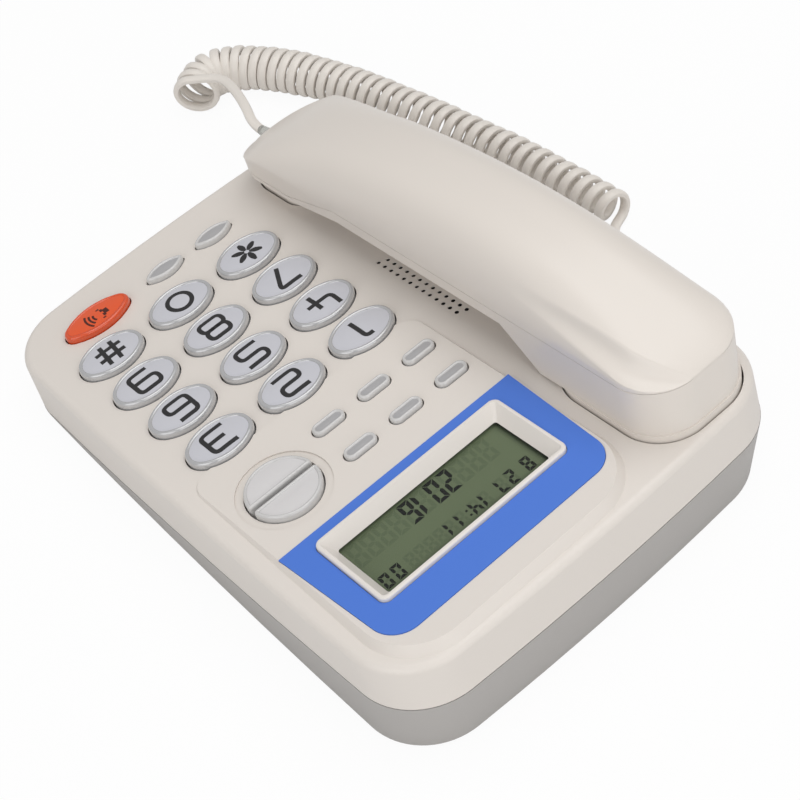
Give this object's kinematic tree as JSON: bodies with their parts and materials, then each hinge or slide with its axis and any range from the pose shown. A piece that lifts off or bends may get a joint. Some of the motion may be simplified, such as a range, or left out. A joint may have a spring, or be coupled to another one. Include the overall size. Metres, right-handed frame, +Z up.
{
  "type": "corded landline phone",
  "caption": "Corded desk telephone: wedge-shaped beige housing with large oval number keys and a tilted display panel, lift-off handset at its left and a curly cord.",
  "frame": {"origin": "centre of the footprint on the table, at the rubber feet's underside", "axes": "+X to the user's right, +Y away from the user towards the display end, +Z up"},
  "size_m": [0.1891, 0.2779, 0.0732],
  "materials": {
    "ballast_steel": "plain",
    "beige_bezel": "satin moulded plastic",
    "beige_housing": "fine satin moulded plastic",
    "blue_panel": "satin tinted plastic",
    "capsule_metal": "satin",
    "circuit_board": "solder resist",
    "clear_grey_key": "translucent gloss",
    "clear_plug": "clear moulded",
    "cord_jacket": "satin extruded",
    "display_glass_cell": "polarizer",
    "display_window": "clear",
    "grey_housing": "fine satin moulded plastic",
    "jack_plastic": "moulded",
    "number_key": "clear lens over a pale face",
    "orange_key": "translucent gloss",
    "pale_key": "satin",
    "rubber_foot": "matte",
    "screw_steel": "zinc plated",
    "silicone_mat": "matte",
    "speaker_metal": "satin",
    "switch_plastic": "moulded"
  },
  "bodies": {
    "base": {"ballast_plate": "ballast_steel", "bottom_shell": "grey_housing", "cord_base_tail": "cord_jacket", "cord_coil": "cord_jacket", "cord_handset_tail": "cord_jacket", "display_bezel": "beige_bezel", "display_board": "circuit_board", "display_cell": "display_glass_cell", "display_surround": "blue_panel", "display_window": "display_window", "handset_cord_jack": "jack_plastic", "hook_switch": "switch_plastic", "housing_screws": "screw_steel", "keypad_mat": "silicone_mat", "line_jack": "jack_plastic", "loudspeaker": "speaker_metal", "main_board": "circuit_board", "plug_base": "clear_plug", "rubber_feet": "rubber_foot", "top_shell": "beige_housing"},
    "handset": {"plug_handset": "clear_plug", "handset_outer_cover": "beige_housing", "handset_inner_cover": "beige_housing", "handset_screws": "screw_steel", "handset_weight": "ballast_steel", "handset_jack": "jack_plastic", "receiver": "speaker_metal", "microphone": "capsule_metal"},
    "hook": {"hook_plunger": "switch_plastic"},
    "key_0_body": {"key_0": "number_key"},
    "key_1_body": {"key_1": "number_key"},
    "key_2_body": {"key_2": "number_key"},
    "key_3_body": {"key_3": "number_key"},
    "key_4_body": {"key_4": "number_key"},
    "key_5_body": {"key_5": "number_key"},
    "key_6_body": {"key_6": "number_key"},
    "key_7_body": {"key_7": "number_key"},
    "key_8_body": {"key_8": "number_key"},
    "key_9_body": {"key_9": "number_key"},
    "key_down_body": {"key_down": "pale_key"},
    "key_handsfree_body": {"key_handsfree": "orange_key"},
    "key_hash_body": {"key_hash": "number_key"},
    "key_lens_left_body": {"key_lens_left": "clear_grey_key"},
    "key_lens_right_body": {"key_lens_right": "clear_grey_key"},
    "key_small_1_body": {"key_small_1": "clear_grey_key"},
    "key_small_2_body": {"key_small_2": "clear_grey_key"},
    "key_small_3_body": {"key_small_3": "clear_grey_key"},
    "key_small_4_body": {"key_small_4": "clear_grey_key"},
    "key_small_5_body": {"key_small_5": "clear_grey_key"},
    "key_small_6_body": {"key_small_6": "clear_grey_key"},
    "key_star_body": {"key_star": "number_key"},
    "key_up_body": {"key_up": "pale_key"}
  },
  "joints": [
    {"name": "handset_lift", "type": "slide", "parent": "base", "child": "handset", "axis": [0, -0.1132, 0.9936], "range_m": [0, 0.045]},
    {"name": "hook_travel", "type": "slide", "parent": "base", "child": "hook", "axis": [0, -0.1132, 0.9936], "range_m": [0, 0.003]},
    {"name": "key_0_press", "type": "slide", "parent": "base", "child": "key_0_body", "axis": [0, 0.1132, -0.9936], "range_m": [0, 0.0012], "stiffness_N_per_m": 300, "springref_m": -0.0005},
    {"name": "key_1_press", "type": "slide", "parent": "base", "child": "key_1_body", "axis": [0, 0.1132, -0.9936], "range_m": [0, 0.0012], "stiffness_N_per_m": 300, "springref_m": -0.0005},
    {"name": "key_2_press", "type": "slide", "parent": "base", "child": "key_2_body", "axis": [0, 0.1132, -0.9936], "range_m": [0, 0.0012], "stiffness_N_per_m": 300, "springref_m": -0.0005},
    {"name": "key_3_press", "type": "slide", "parent": "base", "child": "key_3_body", "axis": [0, 0.1132, -0.9936], "range_m": [0, 0.0012], "stiffness_N_per_m": 300, "springref_m": -0.0005},
    {"name": "key_4_press", "type": "slide", "parent": "base", "child": "key_4_body", "axis": [0, 0.1132, -0.9936], "range_m": [0, 0.0012], "stiffness_N_per_m": 300, "springref_m": -0.0005},
    {"name": "key_5_press", "type": "slide", "parent": "base", "child": "key_5_body", "axis": [0, 0.1132, -0.9936], "range_m": [0, 0.0012], "stiffness_N_per_m": 300, "springref_m": -0.0005},
    {"name": "key_6_press", "type": "slide", "parent": "base", "child": "key_6_body", "axis": [0, 0.1132, -0.9936], "range_m": [0, 0.0012], "stiffness_N_per_m": 300, "springref_m": -0.0005},
    {"name": "key_7_press", "type": "slide", "parent": "base", "child": "key_7_body", "axis": [0, 0.1132, -0.9936], "range_m": [0, 0.0012], "stiffness_N_per_m": 300, "springref_m": -0.0005},
    {"name": "key_8_press", "type": "slide", "parent": "base", "child": "key_8_body", "axis": [0, 0.1132, -0.9936], "range_m": [0, 0.0012], "stiffness_N_per_m": 300, "springref_m": -0.0005},
    {"name": "key_9_press", "type": "slide", "parent": "base", "child": "key_9_body", "axis": [0, 0.1132, -0.9936], "range_m": [0, 0.0012], "stiffness_N_per_m": 300, "springref_m": -0.0005},
    {"name": "key_down_press", "type": "slide", "parent": "base", "child": "key_down_body", "axis": [0, 0.1132, -0.9936], "range_m": [0, 0.0012], "stiffness_N_per_m": 300, "springref_m": -0.0005},
    {"name": "key_handsfree_press", "type": "slide", "parent": "base", "child": "key_handsfree_body", "axis": [0, 0.1132, -0.9936], "range_m": [0, 0.0012], "stiffness_N_per_m": 300, "springref_m": -0.0005},
    {"name": "key_hash_press", "type": "slide", "parent": "base", "child": "key_hash_body", "axis": [0, 0.1132, -0.9936], "range_m": [0, 0.0012], "stiffness_N_per_m": 300, "springref_m": -0.0005},
    {"name": "key_lens_left_press", "type": "slide", "parent": "base", "child": "key_lens_left_body", "axis": [0, 0.1132, -0.9936], "range_m": [0, 0.0012], "stiffness_N_per_m": 300, "springref_m": -0.0005},
    {"name": "key_lens_right_press", "type": "slide", "parent": "base", "child": "key_lens_right_body", "axis": [0, 0.1132, -0.9936], "range_m": [0, 0.0012], "stiffness_N_per_m": 300, "springref_m": -0.0005},
    {"name": "key_small_1_press", "type": "slide", "parent": "base", "child": "key_small_1_body", "axis": [0, 0.1132, -0.9936], "range_m": [0, 0.0012], "stiffness_N_per_m": 300, "springref_m": -0.0005},
    {"name": "key_small_2_press", "type": "slide", "parent": "base", "child": "key_small_2_body", "axis": [0, 0.1132, -0.9936], "range_m": [0, 0.0012], "stiffness_N_per_m": 300, "springref_m": -0.0005},
    {"name": "key_small_3_press", "type": "slide", "parent": "base", "child": "key_small_3_body", "axis": [0, 0.1132, -0.9936], "range_m": [0, 0.0012], "stiffness_N_per_m": 300, "springref_m": -0.0005},
    {"name": "key_small_4_press", "type": "slide", "parent": "base", "child": "key_small_4_body", "axis": [0, 0.1132, -0.9936], "range_m": [0, 0.0012], "stiffness_N_per_m": 300, "springref_m": -0.0005},
    {"name": "key_small_5_press", "type": "slide", "parent": "base", "child": "key_small_5_body", "axis": [0, 0.1132, -0.9936], "range_m": [0, 0.0012], "stiffness_N_per_m": 300, "springref_m": -0.0005},
    {"name": "key_small_6_press", "type": "slide", "parent": "base", "child": "key_small_6_body", "axis": [0, 0.1132, -0.9936], "range_m": [0, 0.0012], "stiffness_N_per_m": 300, "springref_m": -0.0005},
    {"name": "key_star_press", "type": "slide", "parent": "base", "child": "key_star_body", "axis": [0, 0.1132, -0.9936], "range_m": [0, 0.0012], "stiffness_N_per_m": 300, "springref_m": -0.0005},
    {"name": "key_up_press", "type": "slide", "parent": "base", "child": "key_up_body", "axis": [0, 0.1132, -0.9936], "range_m": [0, 0.0012], "stiffness_N_per_m": 300, "springref_m": -0.0005}
  ],
  "couplings": [
    {"joint": "hook_travel", "follows": "handset_lift", "ratio": 0.066667}
  ]
}
